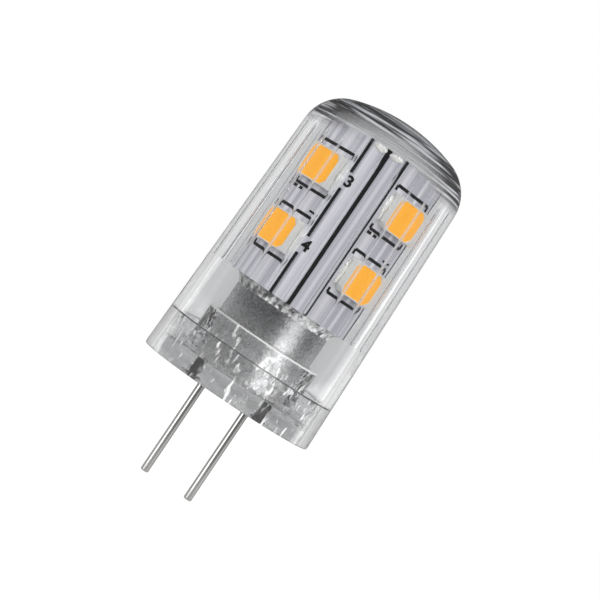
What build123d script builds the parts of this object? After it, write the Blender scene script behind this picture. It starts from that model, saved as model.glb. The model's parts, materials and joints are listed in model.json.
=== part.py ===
from build123d import *
import math
import os

# Bi-pin LED bulb: a clear ribbed cover and a clear plug base, closed round a metal tube that
# carries a folded LED board and holds the driver board inside.
# Millimetres. The origin is the middle of the base's underside. +Z runs towards the dome, the
# two contact pins point along -Z and are spaced along X, and the LED board's seam faces -Y.

os.makedirs("parts", exist_ok=True)

# Cover: outside
cover_diameter = 15.0
cover_draft = 1.5
body_height = 25.15
crown_radius = 14.0
shoulder_radius = 3.4
rim_edge = 0.2

# Cover: inside
rim_wall = 0.7
bore_wall = 0.9
ribbed_wall = 1.05
crown_wall = 1.0
inner_draft = 0.8
ledge_height = 3.5
rib_start = 8.6
inner_shoulder_cut = 1.2
rib_count = 24
rib_foot_width = 0.4
rib_crest_width = 0.12
rib_height = 0.1
rib_root = 0.1
rib_run_out = 1.0
rib_margin = 0.1
rib_first_angle = 267.5

# Base
base_clearance = 0.05
floor_thickness = 1.6
skirt_gap = 0.1
skirt_wall = 0.75
collar_height = 5.2
collar_wall = 0.7
collar_clearance = 0.08
base_edge = 0.15

# Contact pins
pin_spacing = 4.0
pin_diameter = 0.7
pin_length = 8.4
pin_overlap = 3.0
pin_tip = 0.15
pin_collar_diameter = 1.1
pin_collar_height = 0.4
pin_hole_clearance = 0.01

# Heat tube
tube_wall = 0.35
tube_setback = 0.6
tube_edge = 0.08

# LED board, folded from one strip
board_thickness = 0.4
bond_gap = 0.03
panel_margin = 0.75
board_lift = 8.5
board_headroom = 2.85
seam_gap = 0.24
fold_groove_width = 0.2
fold_groove_depth = 0.16
digit_height = 1.0
digit_margin = 0.2

# Adhesive bead
bead_height = 0.75
bead_width = 0.5

# LEDs
led_width = 3.5
led_height = 2.8
led_thickness = 0.75
led_corner_cut = 0.4
led_clearance = 0.32
led_row_share = 5 / 12
led_row_shift = 0.325
window_width = 3.1
window_height = 2.6
window_corner = 0.4
cup_depth = 0.45
cup_taper = 15.0
phosphor_recess = 0.04
terminal_thickness = 0.2
terminal_width = 2.2
terminal_length = 1.1
terminal_overhang = 0.12

# Driver board
driver_lift = 0.4
driver_thickness = 0.8
driver_clearance = 0.25
solder_gap = 0.05
component_gap = 0.6

# Bridge rectifier, on the driver board's front
bridge_length = 4.4
bridge_thickness = 1.4
bridge_stand_off = 0.1
bridge_lead_pitch = 2.5
bridge_lead_width = 0.6
bridge_lead_margin = 0.34
gull_reach = 1.1
gull_rise = 0.6
lead_strip = 0.2

# Smoothing capacitor, a moulded chip on the driver board's front
capacitor_length = 7.3
capacitor_side_gap = 1.2
capacitor_front_gap = 0.4
capacitor_edge = 0.25
capacitor_terminal_width = 2.4
capacitor_terminal_foot = 1.3
capacitor_terminal_rise = 1.4
capacitor_terminal_strip = 0.15

# Driver chip, on the driver board's back
chip_width = 2.9
chip_length = 1.6
chip_thickness = 1.1
chip_stand_off = 0.1
chip_lead_pitch = 0.95
chip_lead_width = 0.4
chip_lead_reach = 0.6

# Inductor, on the driver board's back
inductor_share = 0.57
inductor_flange = 0.4
inductor_hub_share = 0.47
winding_clearance = 0.04

# Chip capacitors and resistor, on the driver board's back
chip_part_length = 2.0
chip_part_width = 1.25
chip_part_height = 0.7
end_cap_length = 0.35

# Flat straps from the driver board to the LED board
strap_width_share = 0.24
strap_pitch_share = 0.54
strap_thickness = 0.15
strap_bend_radius = 0.25
strap_stand_off = 0.1
strap_landing = 1.4
strap_tail = 1.6

# Sizes that follow from those above
cover_radius = cover_diameter / 2
outer_slope = math.tan(math.radians(cover_draft))
inner_slope = math.tan(math.radians(inner_draft))
counterbore_radius = cover_radius - rim_wall
bore_radius = cover_radius - ledge_height * outer_slope - bore_wall
valley_radius = cover_radius - rib_start * outer_slope - ribbed_wall
crown_centre = body_height - crown_radius
inner_crown_radius = crown_radius - crown_wall
base_radius = counterbore_radius - base_clearance
skirt_height = ledge_height - skirt_gap
pin_radius = pin_diameter / 2
pin_collar_radius = pin_collar_diameter / 2

# The LEDs' outer corners clear the ribs, and the board and the tube follow inwards from there
board_top = body_height - board_headroom
board_length = board_top - board_lift
rib_reach = valley_radius - (board_top - rib_start) * inner_slope - rib_height
panel_distance = math.sqrt((rib_reach - led_clearance) ** 2 - (led_width / 2) ** 2) - led_thickness
panel_width = led_width + 2 * panel_margin
strip_width = math.sqrt(2) * panel_distance - panel_width / math.sqrt(2)
strip_distance = math.sqrt(2) * panel_distance - strip_width / 2
tube_radius = panel_distance - board_thickness - bond_gap
tube_bore_radius = tube_radius - tube_wall
tube_length = board_top - tube_setback - floor_thickness
collar_bore_radius = tube_radius + collar_clearance
collar_radius = collar_bore_radius + collar_wall
led_row_pitch = led_row_share * board_length
lower_led_height = board_lift + (board_length - led_row_pitch) / 2 + led_row_shift

# The driver board spans the tube's bore, and what stands on it clears the same wall
clear_radius = tube_bore_radius - driver_clearance
driver_bottom = floor_thickness + driver_lift
driver_front = pin_radius + solder_gap
driver_back = driver_front + driver_thickness
driver_width = 2 * math.sqrt(clear_radius**2 - driver_back**2)
bridge_width = driver_width - 2 * (gull_reach + bridge_lead_margin)
capacitor_width = driver_width - 2 * capacitor_side_gap
capacitor_front = math.sqrt(clear_radius**2 - (capacitor_width / 2) ** 2) - capacitor_front_gap
capacitor_height = capacitor_front + driver_front - capacitor_terminal_strip
inductor_diameter = inductor_share * driver_width
inductor_hub_diameter = inductor_hub_share * inductor_diameter
inductor_height = math.sqrt(clear_radius**2 - (inductor_diameter / 2) ** 2) - driver_back
strap_width = strap_width_share * strip_width
strap_pitch = strap_pitch_share * strip_width

# Front of the driver board from the pins up: bridge rectifier, smoothing capacitor
bridge_centre = driver_bottom + pin_overlap + component_gap + bridge_length / 2
capacitor_bottom = bridge_centre + bridge_length / 2 + component_gap + capacitor_terminal_strip
driver_top = capacitor_bottom + capacitor_length + capacitor_terminal_strip + component_gap

# Back of the driver board from the bottom up: resistor, chip, inductor, two capacitors, straps
resistor_centre = driver_bottom + component_gap + chip_part_width / 2
chip_half_span = chip_length / 2 + chip_lead_reach
chip_centre = resistor_centre + chip_part_width / 2 + component_gap + chip_half_span
inductor_centre = chip_centre + chip_half_span + component_gap + inductor_diameter / 2
output_centre = inductor_centre + inductor_diameter / 2 + component_gap + chip_part_width / 2
input_centre = output_centre + chip_part_width + component_gap
strap_start = driver_top - strap_tail

# Planes of the driver board's two faces, with local Y upwards
front_face = Plane(origin=(0, driver_front, 0), x_dir=(1, 0, 0), z_dir=(0, -1, 0))
back_face = Plane(origin=(0, driver_back, 0), x_dir=(-1, 0, 0), z_dir=(0, 1, 0))


def dome_corner(foot_radius, foot_height, slope, sphere_radius):
    """Where a drafted wall that rises from its foot meets a crown sphere, as (radius, height)."""
    base_reach = foot_radius + foot_height * slope
    linear = base_reach * slope + crown_centre
    square = 1 + slope**2
    rest = base_reach**2 + crown_centre**2 - sphere_radius**2
    height = (linear + math.sqrt(linear**2 - square * rest)) / square
    return (base_reach - height * slope, height)


def crown_arc(corner, sphere_radius):
    """The crown's arc from a corner to the axis, in the line that is open."""
    start = math.degrees(math.atan2(corner[1] - crown_centre, corner[0]))
    CenterArc((0, crown_centre), sphere_radius, start, 90 - start)


def rib_wall_radius(height):
    """The ribbed wall's radius between the ribs, at a height."""
    return valley_radius - (height - rib_start) * inner_slope


def folded_outline(inset):
    """The folded board's eight corners, set in from its outer face."""
    strip = strip_distance - inset
    panel = panel_distance - inset
    half = math.sqrt(2) * panel - strip
    return [
        (half, -strip),
        (strip, -half),
        (strip, half),
        (half, strip),
        (-half, strip),
        (-strip, half),
        (-strip, -half),
        (-half, -strip),
    ]


def draw_terminals():
    """Two solder terminals' outlines, in the sketch that is open."""
    reach = led_width / 2 + terminal_overhang - terminal_length / 2
    with Locations((-reach, 0), (reach, 0)):
        Rectangle(terminal_length, terminal_width)


def draw_window():
    """The light window's outline with its corners cut, in the sketch that is open."""
    across = window_width / 2
    up = window_height / 2
    quarter = [(across, up - window_corner), (across - window_corner, up)]
    half = quarter + [(-x, y) for x, y in reversed(quarter)]
    Polygon(*half, *[(-x, -y) for x, y in half], align=None)


# One inner rib of the cover: it leans with the wall's draft and narrows to its crest. Its foot
# slopes, and at its top it runs out into the wall where the shoulder begins.
outer_corner = dome_corner(cover_radius, 0, outer_slope, crown_radius)
inner_corner = dome_corner(valley_radius, rib_start, inner_slope, inner_crown_radius)
rib_lean = math.radians(inner_draft)
rib_foot = rib_start + rib_margin
rib_top = inner_corner[1] - inner_shoulder_cut * math.cos(rib_lean) - rib_margin
rib_plane = Plane(
    origin=(valley_radius, 0, rib_start),
    x_dir=(0, 1, 0),
    z_dir=(-math.sin(rib_lean), 0, math.cos(rib_lean)),
)
with BuildPart() as rib:
    with BuildSketch(rib_plane):
        Polygon(
            (-rib_foot_width / 2, -rib_root),
            (rib_foot_width / 2, -rib_root),
            (rib_foot_width / 2, 0),
            (rib_crest_width / 2, rib_height),
            (-rib_crest_width / 2, rib_height),
            (-rib_foot_width / 2, 0),
            align=None,
        )
    extrude(amount=(rib_top - rib_start) / math.cos(rib_lean))
    with BuildSketch(Plane.XZ):
        with BuildLine():
            Polyline(
                (rib_wall_radius(rib_foot) + rib_root, rib_foot),
                (rib_wall_radius(rib_foot), rib_foot),
                (rib_wall_radius(rib_foot + rib_height) - rib_height, rib_foot + rib_height),
                (rib_wall_radius(rib_top - rib_run_out) - rib_height, rib_top - rib_run_out),
                (rib_wall_radius(rib_top), rib_top),
                (rib_wall_radius(rib_top) + rib_root, rib_top),
                close=True,
            )
        make_face()
    extrude(amount=rib_foot_width, both=True, mode=Mode.INTERSECT)

# Cover: one moulding with a drafted wall, a rounded shoulder and a low crown
with BuildPart() as cover:
    with BuildSketch(Plane.XZ) as cover_outline:
        with BuildLine():
            Polyline((0, body_height), (0, 0), (cover_radius, 0), outer_corner)
            crown_arc(outer_corner, crown_radius)
        make_face()
        fillet(cover_outline.vertices().sort_by_distance(outer_corner)[0], shoulder_radius)
        chamfer(cover_outline.vertices().sort_by_distance((cover_radius, 0))[0], rim_edge)
    revolve(axis=Axis.Z)
    with BuildSketch(Plane.XZ) as cavity_outline:
        with BuildLine():
            Polyline(
                (0, body_height - crown_wall),
                (0, 0),
                (counterbore_radius, 0),
                (counterbore_radius, ledge_height),
                (bore_radius, ledge_height),
                (bore_radius, rib_start),
                (valley_radius, rib_start),
                inner_corner,
            )
            crown_arc(inner_corner, inner_crown_radius)
        make_face()
        chamfer(cavity_outline.vertices().sort_by_distance(inner_corner)[0], inner_shoulder_cut)
    revolve(axis=Axis.Z, mode=Mode.SUBTRACT)
    with PolarLocations(0, rib_count, start_angle=rib_first_angle):
        add(rib.part)
cover.part.label = "cover"
export_step(cover.part, "parts/cover.step")

# Base: a plug with an outer skirt that fits the cover and an inner collar that holds the tube
with BuildPart() as base:
    with BuildSketch(Plane.XZ) as base_outline:
        with BuildLine():
            Polyline(
                (0, 0),
                (base_radius, 0),
                (base_radius, skirt_height),
                (base_radius - skirt_wall, skirt_height),
                (base_radius - skirt_wall, floor_thickness),
                (collar_radius, floor_thickness),
                (collar_radius, collar_height),
                (collar_bore_radius, collar_height),
                (collar_bore_radius, floor_thickness),
                (0, floor_thickness),
                close=True,
            )
        make_face()
        chamfer(base_outline.vertices().sort_by_distance((base_radius, skirt_height))[0], base_edge)
        chamfer(base_outline.vertices().sort_by_distance((collar_radius, collar_height))[0], base_edge)
    revolve(axis=Axis.Z)
    with GridLocations(pin_spacing, 0, 2, 1):
        Hole(pin_radius + pin_hole_clearance)
    with BuildSketch():
        with GridLocations(pin_spacing, 0, 2, 1):
            Circle(pin_collar_radius + pin_hole_clearance)
    extrude(amount=pin_collar_height + pin_hole_clearance, mode=Mode.SUBTRACT)
base.part.label = "base"
export_step(base.part, "parts/base.step")

# Contact pins: round wire with chamfered tips, up through the floor to the driver board. A collar
# flush with the base's underside takes the push of the lamp holder.
for side, pin_x in (("left", -pin_spacing / 2), ("right", pin_spacing / 2)):
    with BuildPart() as contact_pin:
        with BuildSketch(Plane.XY.offset(-pin_length)):
            with Locations((pin_x, 0)):
                Circle(pin_radius)
        extrude(amount=pin_length + driver_bottom + pin_overlap)
        chamfer(contact_pin.edges().sort_by(Axis.Z)[0], length=pin_tip)
        with BuildSketch():
            with Locations((pin_x, 0)):
                Circle(pin_collar_radius)
        extrude(amount=pin_collar_height)
    contact_pin.part.label = f"contact_pin_{side}"
    export_step(contact_pin.part, f"parts/contact_pin_{side}.step")

# Heat tube: stands on the floor, inside the collar
with BuildPart() as heat_tube:
    with BuildSketch(Plane.XY.offset(floor_thickness)):
        Circle(tube_radius)
        Circle(tube_bore_radius, mode=Mode.SUBTRACT)
    extrude(amount=tube_length)
    chamfer(heat_tube.edges().filter_by(GeomType.CIRCLE).sort_by(SortBy.RADIUS)[-2:], length=tube_edge)
heat_tube.part.label = "heat_tube"
export_step(heat_tube.part, "parts/heat_tube.step")

# LED board: one strip folded round the tube, with a seam in front and a groove at each fold.
# The groove stops beside each printed digit, at one fold of each LED panel.
led_heights = (lower_led_height + led_row_pitch, lower_led_height)
bridge_half = digit_height / 2 + digit_margin
fold_corners = folded_outline(0)
fold_places = [Location((x, y), math.degrees(math.atan2(y, x))) for x, y in fold_corners]
with BuildPart() as led_board:
    with BuildSketch(Plane.XY.offset(board_lift)):
        with BuildLine():
            Polyline(*fold_corners, close=True)
        make_face()
        with BuildLine():
            Polyline(*folded_outline(board_thickness), close=True)
        make_face(mode=Mode.SUBTRACT)
        with Locations((0, board_thickness / 2 - strip_distance)):
            Rectangle(seam_gap, 2 * board_thickness, mode=Mode.SUBTRACT)
    extrude(amount=board_length)
    with BuildSketch(Plane.XY.offset(board_lift)):
        with Locations(*fold_places[0::2]):
            Rectangle(2 * fold_groove_depth, fold_groove_width)
    extrude(amount=board_length, mode=Mode.SUBTRACT)
    groove_ends = [board_lift, board_top]
    for height in led_heights:
        groove_ends += [height - bridge_half, height + bridge_half]
    groove_ends.sort()
    for low, high in zip(groove_ends[0::2], groove_ends[1::2]):
        with BuildSketch(Plane.XY.offset(low)):
            with Locations(*fold_places[1::2]):
                Rectangle(2 * fold_groove_depth, fold_groove_width)
        extrude(amount=high - low, mode=Mode.SUBTRACT)
led_board.part.label = "led_board"
export_step(led_board.part, "parts/led_board.step")

# Adhesive bead: fills the corner between the tube and the board's lower edge
with BuildPart() as adhesive_bead:
    with BuildSketch(Plane.XZ):
        with BuildLine():
            Polyline(
                (tube_radius, board_lift - bead_height),
                (tube_radius, board_lift),
                (tube_radius + bead_width, board_lift),
                close=True,
            )
        make_face()
    revolve(axis=Axis.Z)
adhesive_bead.part.label = "adhesive_bead"
export_step(adhesive_bead.part, "parts/adhesive_bead.step")

# LEDs: two on each wide panel. Each is a white cup with a cut corner, two terminals and a filling.
led_number = 0
for panel_angle in (135, 225, 315, 45):
    turn = math.radians(panel_angle)
    for led_z in led_heights:
        led_number += 1
        seat = Plane(
            origin=(panel_distance * math.cos(turn), panel_distance * math.sin(turn), led_z),
            x_dir=(-math.sin(turn), math.cos(turn), 0),
            z_dir=(math.cos(turn), math.sin(turn), 0),
        )
        with BuildPart() as housing:
            with BuildSketch(seat) as housing_outline:
                Rectangle(led_width, led_height)
                cut_corner = (-led_width / 2, -led_height / 2)
                chamfer(housing_outline.vertices().sort_by_distance(cut_corner)[0], led_corner_cut)
            extrude(amount=led_thickness)
            with BuildSketch(seat):
                draw_terminals()
            extrude(amount=terminal_thickness, mode=Mode.SUBTRACT)
            with BuildSketch(seat.offset(led_thickness)):
                draw_window()
            extrude(amount=-cup_depth, taper=cup_taper, mode=Mode.SUBTRACT)
        housing.part.label = f"led_{led_number}_housing"
        export_step(housing.part, f"parts/led_{led_number}_housing.step")

        with BuildPart() as phosphor:
            with BuildSketch(seat.offset(led_thickness)):
                draw_window()
            extrude(amount=-cup_depth, taper=cup_taper)
            split(bisect_by=seat.offset(led_thickness - phosphor_recess), keep=Keep.BOTTOM)
        phosphor.part.label = f"led_{led_number}_phosphor"
        export_step(phosphor.part, f"parts/led_{led_number}_phosphor.step")

        with BuildPart() as terminals:
            with BuildSketch(seat):
                draw_terminals()
            extrude(amount=terminal_thickness)
        terminals.part.label = f"led_{led_number}_terminals"
        export_step(terminals.part, f"parts/led_{led_number}_terminals.step")

# Driver board: stands in the tube, against the pins
with BuildPart() as driver_board:
    with BuildSketch(front_face):
        with Locations((0, (driver_bottom + driver_top) / 2)):
            Rectangle(driver_width, driver_top - driver_bottom)
    extrude(amount=-driver_thickness)
driver_board.part.label = "driver_board"
export_step(driver_board.part, "parts/driver_board.step")

# Bridge rectifier: a moulded block with four gull-wing leads
with BuildPart() as bridge_rectifier:
    with BuildSketch(front_face.offset(bridge_stand_off)):
        with Locations((0, bridge_centre)):
            Rectangle(bridge_width, bridge_length)
    extrude(amount=bridge_thickness)
    chamfer(bridge_rectifier.edges().group_by(Axis.Y)[0], length=bridge_stand_off)
bridge_rectifier.part.label = "bridge_rectifier"
export_step(bridge_rectifier.part, "parts/bridge_rectifier.step")

with BuildPart() as bridge_leads:
    for lead_z in (bridge_centre - bridge_lead_pitch / 2, bridge_centre + bridge_lead_pitch / 2):
        with BuildSketch(Plane.XY.offset(lead_z)) as gull_wings:
            for way in (-1, 1):
                with BuildLine():
                    Polyline(
                        (way * bridge_width / 2, driver_front - gull_rise),
                        (way * (bridge_width / 2 + gull_reach / 3), driver_front - gull_rise),
                        (way * (bridge_width / 2 + gull_reach / 2), driver_front - lead_strip / 2),
                        (way * (bridge_width / 2 + gull_reach), driver_front - lead_strip / 2),
                    )
                trace(line_width=lead_strip)
        extrude(amount=bridge_lead_width / 2, both=True)
bridge_leads.part.label = "bridge_leads"
export_step(bridge_leads.part, "parts/bridge_leads.step")

# Smoothing capacitor: a moulded block on two folded terminals
capacitor_centre = capacitor_bottom + capacitor_length / 2
with BuildPart() as smoothing_capacitor:
    with BuildSketch(front_face.offset(capacitor_terminal_strip)):
        with Locations((0, capacitor_centre)):
            Rectangle(capacitor_width, capacitor_length)
    extrude(amount=capacitor_height)
    chamfer(smoothing_capacitor.edges().group_by(Axis.Y)[0], length=capacitor_edge)
smoothing_capacitor.part.label = "smoothing_capacitor"
export_step(smoothing_capacitor.part, "parts/smoothing_capacitor.step")

strip_half = capacitor_terminal_strip / 2
with BuildPart() as capacitor_terminals:
    for way in (-1, 1):
        end_z = capacitor_centre + way * capacitor_length / 2
        with BuildSketch(Plane.YZ):
            with BuildLine():
                Polyline(
                    (driver_front - strip_half, end_z - way * capacitor_terminal_foot),
                    (driver_front - strip_half, end_z + way * strip_half),
                    (driver_front - capacitor_terminal_rise, end_z + way * strip_half),
                )
            trace(line_width=capacitor_terminal_strip)
        extrude(amount=capacitor_terminal_width / 2, both=True)
capacitor_terminals.part.label = "capacitor_terminals"
export_step(capacitor_terminals.part, "parts/capacitor_terminals.step")

# Driver chip: a small moulded block with six gull-wing leads
with BuildPart() as driver_chip:
    with BuildSketch(back_face.offset(chip_stand_off)):
        with Locations((0, chip_centre)):
            Rectangle(chip_width, chip_length)
    extrude(amount=chip_thickness)
    chamfer(driver_chip.edges().group_by(Axis.Y)[-1], length=chip_stand_off)
driver_chip.part.label = "driver_chip"
export_step(driver_chip.part, "parts/driver_chip.step")

chip_lead_root = chip_length / 2
chip_lead_bend = chip_lead_root + chip_lead_reach / 3
chip_lead_landing = chip_lead_root + chip_lead_reach / 2
with BuildPart() as driver_chip_leads:
    for lead_x in (-chip_lead_pitch, 0, chip_lead_pitch):
        with BuildSketch(Plane.YZ.offset(lead_x)):
            for way in (-1, 1):
                with BuildLine():
                    Polyline(
                        (driver_back + gull_rise, chip_centre + way * chip_lead_root),
                        (driver_back + gull_rise, chip_centre + way * chip_lead_bend),
                        (driver_back + lead_strip / 2, chip_centre + way * chip_lead_landing),
                        (driver_back + lead_strip / 2, chip_centre + way * chip_half_span),
                    )
                trace(line_width=lead_strip)
        extrude(amount=chip_lead_width / 2, both=True)
driver_chip_leads.part.label = "driver_chip_leads"
export_step(driver_chip_leads.part, "parts/driver_chip_leads.step")

# Inductor: a drum core and the winding between its flanges
with BuildPart() as inductor_core:
    with BuildSketch(back_face):
        with Locations((0, inductor_centre)):
            Circle(inductor_diameter / 2)
    extrude(amount=inductor_height)
    with BuildSketch(back_face.offset(inductor_flange)):
        with Locations((0, inductor_centre)):
            Circle(inductor_diameter)
            Circle(inductor_hub_diameter / 2, mode=Mode.SUBTRACT)
    extrude(amount=inductor_height - 2 * inductor_flange, mode=Mode.SUBTRACT)
inductor_core.part.label = "inductor_core"
export_step(inductor_core.part, "parts/inductor_core.step")

with BuildPart() as inductor_winding:
    with BuildSketch(back_face.offset(inductor_flange + winding_clearance)):
        with Locations((0, inductor_centre)):
            Circle(inductor_diameter / 2 - inductor_flange / 2)
            Circle(inductor_hub_diameter / 2 + winding_clearance, mode=Mode.SUBTRACT)
    extrude(amount=inductor_height - 2 * inductor_flange - 2 * winding_clearance)
inductor_winding.part.label = "inductor_winding"
export_step(inductor_winding.part, "parts/inductor_winding.step")

# Chip resistor and chip capacitors: blocks between metal end caps
chip_parts = {
    "sense_resistor": resistor_centre,
    "output_capacitor": output_centre,
    "input_capacitor": input_centre,
}
for chip_name, chip_z in chip_parts.items():
    with BuildPart() as chip_body:
        with BuildSketch(back_face):
            with Locations((0, chip_z)):
                Rectangle(chip_part_length - 2 * end_cap_length, chip_part_width)
        extrude(amount=chip_part_height)
    chip_body.part.label = chip_name
    export_step(chip_body.part, f"parts/{chip_name}.step")

cap_reach = (chip_part_length - end_cap_length) / 2
with BuildPart() as chip_end_caps:
    with BuildSketch(back_face):
        for chip_z in chip_parts.values():
            with Locations((-cap_reach, chip_z), (cap_reach, chip_z)):
                Rectangle(end_cap_length, chip_part_width)
    extrude(amount=chip_part_height)
chip_end_caps.part.label = "chip_end_caps"
export_step(chip_end_caps.part, "parts/chip_end_caps.step")

# Two straps: up from the driver board, over the LED board's top edge and down its back strip
inner_y = driver_back + (solder_gap + strap_thickness) / 2
outer_y = strip_distance + bond_gap + strap_thickness / 2
over_z = board_top + strap_stand_off + strap_thickness / 2
for strap_name, strap_x in (("plus", -strap_pitch / 2), ("minus", strap_pitch / 2)):
    with BuildPart() as led_strap:
        with BuildLine() as strap_path:
            FilletPolyline(
                (strap_x, inner_y, strap_start),
                (strap_x, inner_y, over_z),
                (strap_x, outer_y, over_z),
                (strap_x, outer_y, board_top - strap_landing),
                radius=strap_bend_radius,
            )
        with BuildSketch(Plane(origin=strap_path.line @ 0, x_dir=(1, 0, 0), z_dir=strap_path.line % 0)):
            Rectangle(strap_width, strap_thickness)
        sweep(path=strap_path.line)
    led_strap.part.label = f"led_strap_{strap_name}"
    export_step(led_strap.part, f"parts/led_strap_{strap_name}.step")
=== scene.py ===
"""Looks of a bi-pin LED bulb, built round its CAD frame.

Lengths are metres and angles radians. +Z runs from the contact pins to the dome, and the LED
board's seam faces -Y, towards the camera.
"""

import json
import math
from collections import namedtuple

import bpy
from mathutils import Matrix, Vector, noise


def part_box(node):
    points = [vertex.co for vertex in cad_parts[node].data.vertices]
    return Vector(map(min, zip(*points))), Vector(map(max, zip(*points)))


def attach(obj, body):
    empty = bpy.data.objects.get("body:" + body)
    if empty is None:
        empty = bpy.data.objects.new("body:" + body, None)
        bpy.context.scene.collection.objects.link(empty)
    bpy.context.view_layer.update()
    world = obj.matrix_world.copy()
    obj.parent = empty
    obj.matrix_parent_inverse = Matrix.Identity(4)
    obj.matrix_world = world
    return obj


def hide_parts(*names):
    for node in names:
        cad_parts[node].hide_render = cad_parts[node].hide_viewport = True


bl_info = {
    "name": "Bi-pin LED bulb",
    "version": (1, 0, 0),
    "blender": (4, 5, 0),
    "location": "View3D > Sidebar > Bulb",
    "description": "Dresses a clear capsule bulb: mouldings, LED board, LEDs, pins and driver",
    "category": "Object",
}

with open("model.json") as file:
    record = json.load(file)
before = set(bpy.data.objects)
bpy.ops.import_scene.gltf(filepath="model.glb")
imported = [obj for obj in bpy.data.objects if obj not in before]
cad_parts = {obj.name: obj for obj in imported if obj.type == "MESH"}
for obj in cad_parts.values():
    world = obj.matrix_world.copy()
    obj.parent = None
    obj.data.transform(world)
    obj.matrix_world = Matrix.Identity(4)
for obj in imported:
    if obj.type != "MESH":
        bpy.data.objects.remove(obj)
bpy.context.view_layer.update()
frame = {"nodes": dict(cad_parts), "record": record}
MM = 0.001
FULL_TURN = 2 * math.pi
MERGE = 1e-6
FLAT_ANGLE = math.radians(1)
EDGE_ANGLE = math.radians(30)
LED_NUMBERS = range(1, 9)
PANEL_TURNS = [math.radians(degrees) for degrees in (135, 225, 315, 45)]
SEAM_TURN = -math.pi / 2

# Mesh steps round the spun pieces and along their curves
BASE_COLUMNS = 240
BEAD_COLUMNS = 240
TUBE_COLUMNS = 192
PIN_COLUMNS = 64
DOME_STEPS = 20
INNER_DOME_STEPS = 18
RIB_FOOT_STEPS = 4
RIB_RUN_STEPS = 5
BEAD_STEPS = 10

# Share of a straight stretch that the rounding of one of its corners may take up
CORNER_LIMIT = 0.45

# Uneven adhesive and solder: waves to a millimetre and shares by which a wave swells the shape
BEAD_WAVES = 1.3
SOLDER_WAVES = 1.7
JOINT_WAVES = 2.3
BEAD_SWELL = 0.35
LUMP_SWELL = 0.4

# Power of the curve of the adhesive's hollow face
BEAD_HOLLOW = 1.6

# How much bolder a digit is than the font's own outline
DIGIT_WEIGHT = 0.035

PLASTIC_IOR = 1.58
SILICONE_IOR = 1.45

# Depth of the dome's turning rings against the waves of the plastic itself
RING_DEPTH = 2.0

# How much wider the painted shade on a rib's flank spreads at a slant than the painted highlight on
# it from the front
SIDE_SPREAD = 4.0

# Shares at which the painted grey shade over the base's floor and the painted highlight on the
# collar's lip cover the clear plastic
PAINTED_SHADE_SHARE = 0.32
LIP_HIGHLIGHT_SHARE = 0.6

# Blender's noise lies between these values almost everywhere
NOISE_LOW = 0.3
NOISE_HIGH = 0.7

# The mirrored studio: share of the way from the camera's side to the back, and its brightness
STUDIO_STOPS = (
    (0.0, 0.1),
    (0.3, 0.12),
    (0.48, 0.2),
    (0.62, 0.48),
    (0.75, 0.65),
    (0.93, 0.7),
    (1.0, 0.75),
)


# Properties


def length(name, description, millimetres):
    """A length property with its default in millimetres."""
    return bpy.props.FloatProperty(
        name=name, description=description, default=millimetres * MM, unit="LENGTH", precision=5
    )


def angle(name, description, degrees):
    """An angle property with its default in degrees."""
    return bpy.props.FloatProperty(
        name=name, description=description, default=math.radians(degrees), subtype="ANGLE"
    )


def plain_number(name, description, default):
    """A property that is a plain number."""
    return bpy.props.FloatProperty(name=name, description=description, default=default)


def count(name, description, default):
    """A property that counts."""
    return bpy.props.IntProperty(name=name, description=description, default=default)


def colour(name, description, *levels):
    """A colour property with its levels of red, green and blue."""
    return bpy.props.FloatVectorProperty(
        name=name, description=description, default=levels, subtype="COLOR", min=0, max=1
    )


class CoverSizes(bpy.types.PropertyGroup):
    """Sizes of the clear cover."""

    draft: angle("Draft", "Lean of the outer wall", 1.5)
    crown_radius: length("Crown radius", "Radius of the low crown", 14.0)
    shoulder_radius: length("Shoulder radius", "Rounding between wall and crown", 3.4)
    rim_wall: length("Rim wall", "Wall at the rim, round the base", 0.7)
    bore_wall: length("Bore wall", "Wall above the ledge", 0.9)
    ribbed_wall: length("Ribbed wall", "Wall between the ribs", 1.05)
    crown_wall: length("Crown wall", "Wall at the crown", 1.0)
    inner_draft: angle("Inner draft", "Lean of the ribbed wall", 0.8)
    inner_shoulder: length("Inner shoulder", "Rounding inside the shoulder", 2.2)
    ledge_height: length("Ledge", "Height of the ledge that the base meets", 3.5)
    rib_start: length("Rib start", "Height of the ribs' feet", 8.6)
    rib_count: count("Ribs", "Ribs round the inside", 24)
    rib_foot: length("Rib foot", "Width of a rib at the wall", 0.4)
    rib_height: length("Rib height", "How far a rib stands off the wall", 0.03)
    rib_run_out: length("Rib run-out", "Length over which a rib sinks into the shoulder", 1.0)
    rib_turn: angle("First rib", "Where the first rib stands", 267.5)
    edge: length("Edge rounding", "Rounding of the moulded edges", 0.12)
    columns_per_rib: count("Columns", "Mesh columns to each rib", 32)
    # The dome's arcs are painted streaks of light and shade, seen at a slant
    painted_arc_start: length("Arc start", "Height at which the dome's arcs begin to show", 20.9)
    painted_arc_full: length("Arc full", "Height at which the dome's arcs show in full", 21.9)
    ring_start: length("Ring start", "Height at which the turning rings begin", 22.0)
    ring_full: length("Ring full", "Height at which the turning rings are deepest", 23.2)


class BaseSizes(bpy.types.PropertyGroup):
    """Sizes of the clear base."""

    floor: length("Floor", "Thickness of the floor", 1.6)
    skirt_gap: length("Skirt gap", "Room between the skirt and the cover's ledge", 0.03)
    skirt_wall: length("Skirt wall", "Wall of the outer skirt", 0.75)
    collar_wall: length("Collar wall", "Wall of the collar round the tube", 0.7)
    collar_gap: length("Collar gap", "Room between the collar and the tube", 0.08)
    hole_gap: length("Hole gap", "Room round a contact pin", 0.01)
    edge: length("Edge rounding", "Rounding of the moulded edges", 0.06)
    # The floor's haze is painted shade, and the collar's pale lip is a painted highlight
    painted_shade_top: length("Haze top", "Height at which the floor's grey haze ends", 1.9)
    painted_shade_full: length("Haze full", "Height below which the haze is at its full", 1.4)
    lip_highlight_start: length("Lip start", "Height at which the collar's pale lip begins", 5.04)
    lip_highlight_full: length("Lip full", "Height at which the collar's lip is palest", 5.1)


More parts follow.
